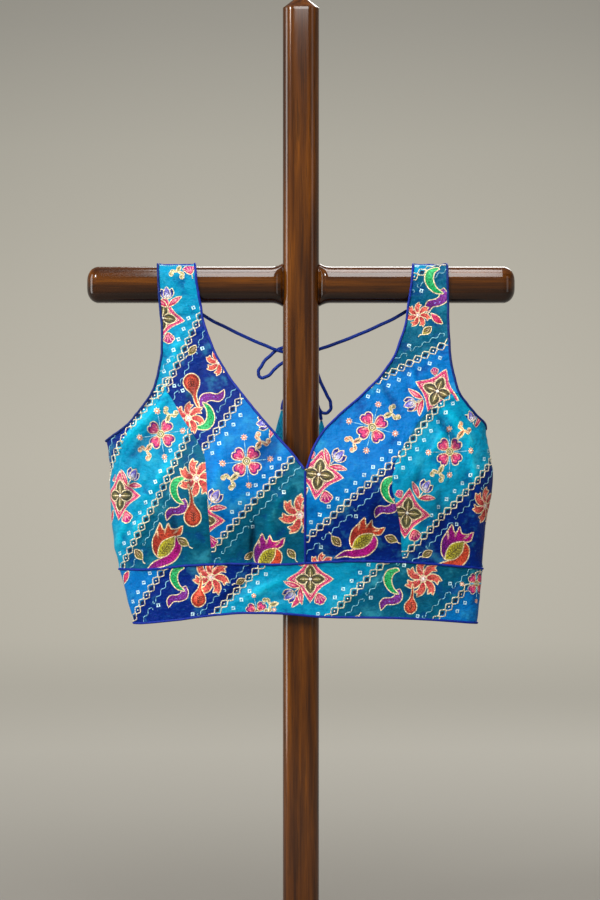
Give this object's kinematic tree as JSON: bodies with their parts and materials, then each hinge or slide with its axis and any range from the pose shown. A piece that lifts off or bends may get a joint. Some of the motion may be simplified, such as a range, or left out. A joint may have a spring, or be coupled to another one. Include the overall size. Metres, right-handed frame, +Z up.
{
  "type": "choli blouse on a wooden cross stand",
  "caption": "Sleeveless V-neck choli blouse in striped printed silk with piped seams and a tie at the back, hung by its straps on a wooden cross stand.",
  "frame": {"origin": "middle of the underside of the stand's round base", "axes": "+Z up along the post, -Y out of the blouse's front, +X towards the viewer's right"},
  "size_m": [0.461, 0.3, 1.03],
  "materials": {
    "walnut_lacquer": "dark brown hardwood under gloss lacquer",
    "printed_silk": "soft silk with diagonal stripes of cyan, azure, teal and navy and small printed motifs",
    "royal_piping": "satin bias piping in royal blue",
    "navy_cord": "soft round cord of navy satin"
  },
  "bodies": {
    "root": {"stand_base": "walnut_lacquer", "stand_post": "walnut_lacquer", "stand_arm_left": "walnut_lacquer", "stand_arm_right": "walnut_lacquer", "front_centre_left": "printed_silk", "front_centre_right": "printed_silk", "front_side_left": "printed_silk", "front_side_right": "printed_silk", "back_left": "printed_silk", "back_right": "printed_silk", "back_placket": "printed_silk", "band_front": "printed_silk", "band_back_left": "printed_silk", "band_back_right": "printed_silk", "piping_neck_left": "royal_piping", "piping_neck_right": "royal_piping", "piping_armhole_left": "royal_piping", "piping_armhole_right": "royal_piping", "piping_centre_front": "royal_piping", "piping_waist": "royal_piping", "piping_hem": "royal_piping", "dori_span_left": "navy_cord", "dori_span_right": "navy_cord", "dori_bow_left": "navy_cord", "dori_bow_right": "navy_cord", "dori_tail_left": "navy_cord", "dori_tail_right": "navy_cord", "dori_knot": "navy_cord", "latkan_left": "printed_silk", "latkan_right": "printed_silk"}
  },
  "joints": []
}
